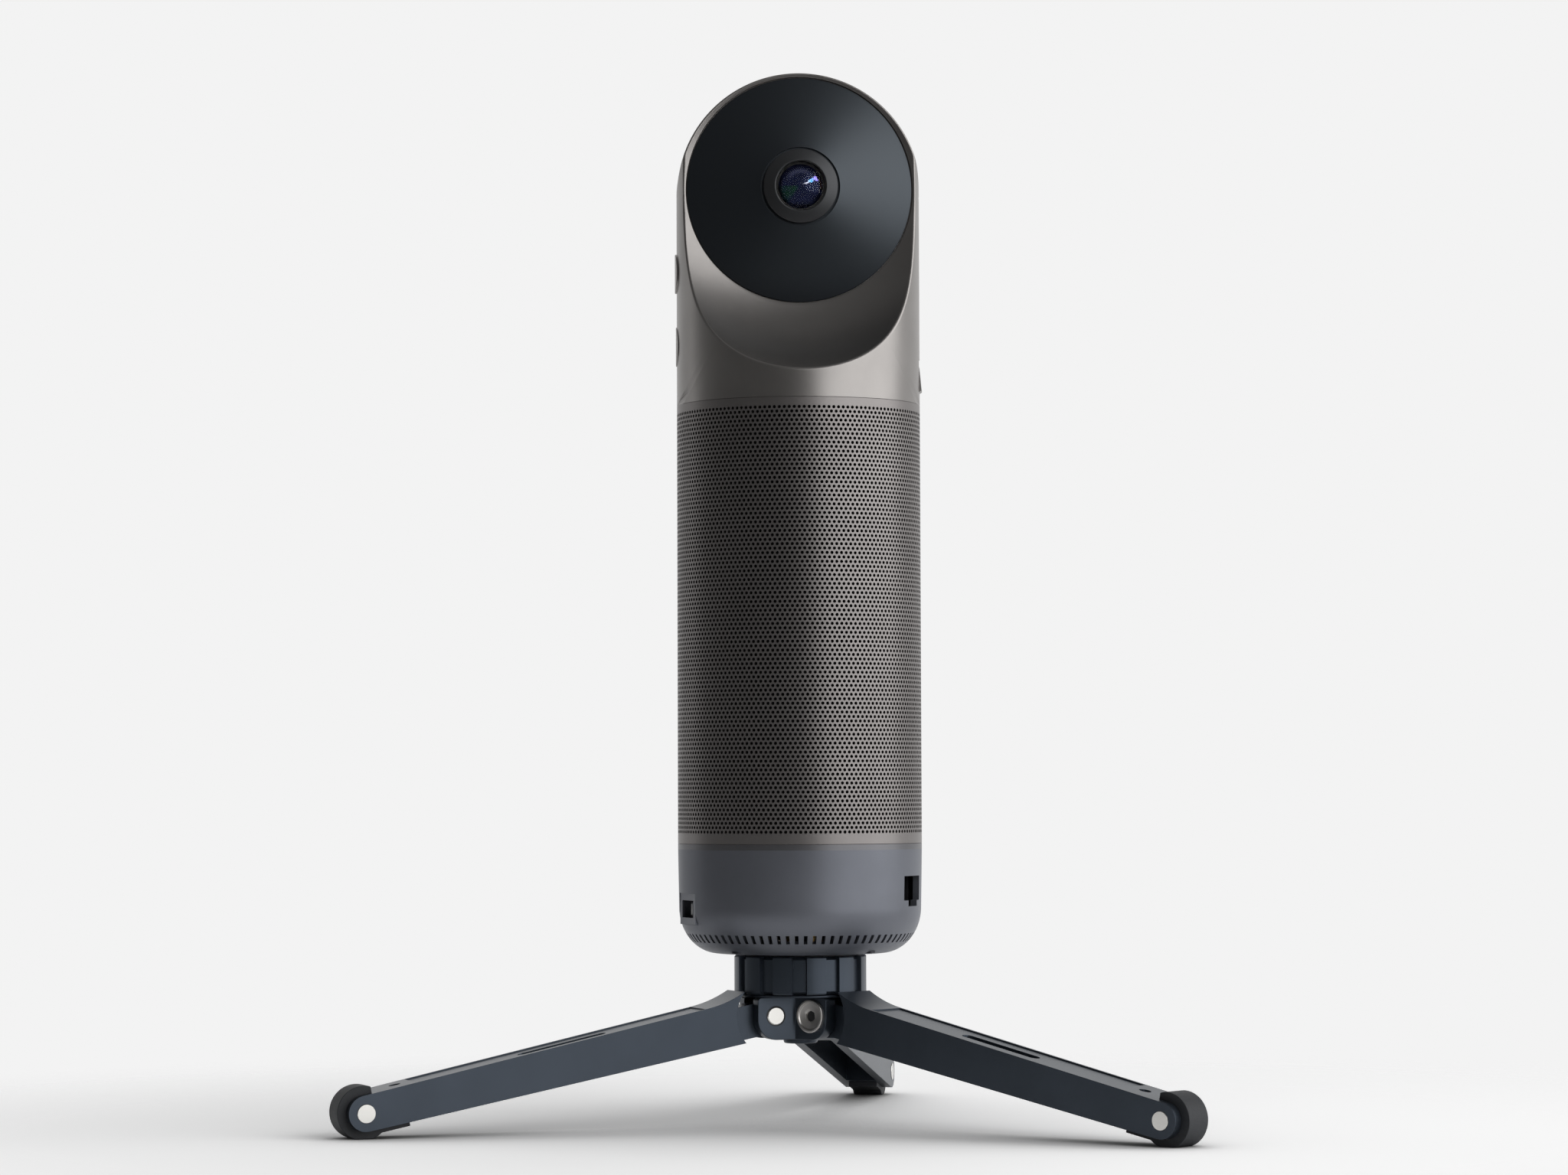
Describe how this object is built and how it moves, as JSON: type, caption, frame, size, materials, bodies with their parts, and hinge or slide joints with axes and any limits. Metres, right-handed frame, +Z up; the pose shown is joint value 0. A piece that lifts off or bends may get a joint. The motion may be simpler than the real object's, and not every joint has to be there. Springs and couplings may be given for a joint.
{
  "type": "360 degree camera",
  "caption": "Upright cylindrical conference camera with a lens on each face of its scooped head, a perforated speaker body and a folding three-legged table tripod.",
  "frame": {"origin": "on the camera's upright axis, at the level of the table that the three feet stand on", "axes": "+Z up along the camera's axis, -Y out of the front lens, +X towards the side with the network jack and card flap"},
  "size_m": [0.2513, 0.2452, 0.3186],
  "materials": {
    "head_metal": "satin warm grey anodised",
    "grille_metal": "perforated satin grey",
    "trim_metal": "satin",
    "base_plastic": "fine matt grey",
    "cover_black": "satin black",
    "ring_black": "satin black",
    "lens_glass": "coated glass",
    "inner_plastic": "matt black",
    "circuit_board": "green solder mask",
    "bracket_metal": "bare",
    "steel": "plain",
    "port_metal": "plated",
    "port_black": "matt black",
    "acoustic_cloth": "black woven",
    "basket_metal": "black",
    "magnet_iron": "plated",
    "cone_fibre": "matt fibre",
    "brass": "plain",
    "tripod_black": "satin black anodised",
    "rubber": "matt",
    "polished_steel": "polished"
  },
  "bodies": {
    "tripod": {"tripod_hub": "tripod_black", "tripod_stud": "tripod_black", "pivot_barrel_1": "polished_steel", "pivot_screw_1": "polished_steel", "pivot_barrel_2": "polished_steel", "pivot_screw_2": "polished_steel", "pivot_barrel_3": "polished_steel", "pivot_screw_3": "polished_steel"},
    "collar": {"locking_collar": "tripod_black", "collar_pad": "rubber"},
    "camera": {"head_shell": "head_metal", "lens_cover_front": "cover_black", "lens_cover_rear": "cover_black", "lens_ring_front": "ring_black", "lens_ring_rear": "ring_black", "lens_glass_front": "lens_glass", "lens_glass_rear": "lens_glass", "lens_barrel_front": "inner_plastic", "lens_barrel_rear": "inner_plastic", "sensor_board_front": "circuit_board", "sensor_board_rear": "circuit_board", "lens_bracket": "bracket_metal", "button_board": "circuit_board", "flap_pin": "steel", "card_socket": "port_metal", "inner_frame": "inner_plastic", "head_screws": "steel", "microphone_board": "circuit_board", "grille_sleeve": "grille_metal", "acoustic_cloth": "acoustic_cloth", "main_board": "circuit_board", "heat_sink": "bracket_metal", "speaker_chamber": "inner_plastic", "speaker_basket": "basket_metal", "speaker_magnet": "magnet_iron", "speaker_cone": "cone_fibre", "trim_ring": "trim_metal", "base_shell": "base_plastic", "bottom_cover": "base_plastic", "cover_screws": "steel", "tripod_insert": "brass", "connector_board": "circuit_board", "ethernet_jack": "port_black", "usb_port": "port_metal", "power_port": "port_metal", "video_port": "port_metal"},
    "leg_1": {"leg_1": "tripod_black", "foot_1": "rubber", "foot_pin_1": "polished_steel"},
    "leg_2": {"leg_2": "tripod_black", "foot_2": "rubber", "foot_pin_2": "polished_steel"},
    "leg_3": {"leg_3": "tripod_black", "foot_3": "rubber", "foot_pin_3": "polished_steel"},
    "button_upper": {"button_upper": "head_metal"},
    "button_lower": {"button_lower": "head_metal"},
    "card_flap": {"card_flap": "head_metal"}
  },
  "joints": [
    {"name": "leg_1_fold", "type": "hinge", "parent": "tripod", "child": "leg_1", "pos_m": [-0.01047, -0.00336, 0.03338], "axis": [0.3057, -0.9521, 0], "range_deg": [0, 78]},
    {"name": "leg_2_fold", "type": "hinge", "parent": "tripod", "child": "leg_2", "pos_m": [0.00815, -0.00739, 0.03338], "axis": [0.6717, 0.7408, 0], "range_deg": [0, 78]},
    {"name": "leg_3_fold", "type": "hinge", "parent": "tripod", "child": "leg_3", "pos_m": [0.00232, 0.01075, 0.03338], "axis": [-0.9774, 0.2113, 0], "range_deg": [0, 78]},
    {"name": "collar_turn", "type": "hinge", "parent": "tripod", "child": "collar", "pos_m": [0, 0, 0.03993], "axis": [0, 0, 1], "continuous": true},
    {"name": "camera_swivel", "type": "hinge", "parent": "tripod", "child": "camera", "pos_m": [0, 0, 0.05198], "axis": [0, 0, 1], "continuous": true},
    {"name": "button_upper_press", "type": "slide", "parent": "camera", "child": "button_upper", "axis": [1, 0, 0], "range_m": [0, 0.0005], "stiffness_N_per_m": 1200, "springref_m": -0.0006},
    {"name": "button_lower_press", "type": "slide", "parent": "camera", "child": "button_lower", "axis": [1, 0, 0], "range_m": [0, 0.0005], "stiffness_N_per_m": 1200, "springref_m": -0.0006},
    {"name": "card_flap_open", "type": "hinge", "parent": "camera", "child": "card_flap", "pos_m": [0.03575, 0, 0.23093], "axis": [0, -1, 0], "range_deg": [0, 80]}
  ]
}
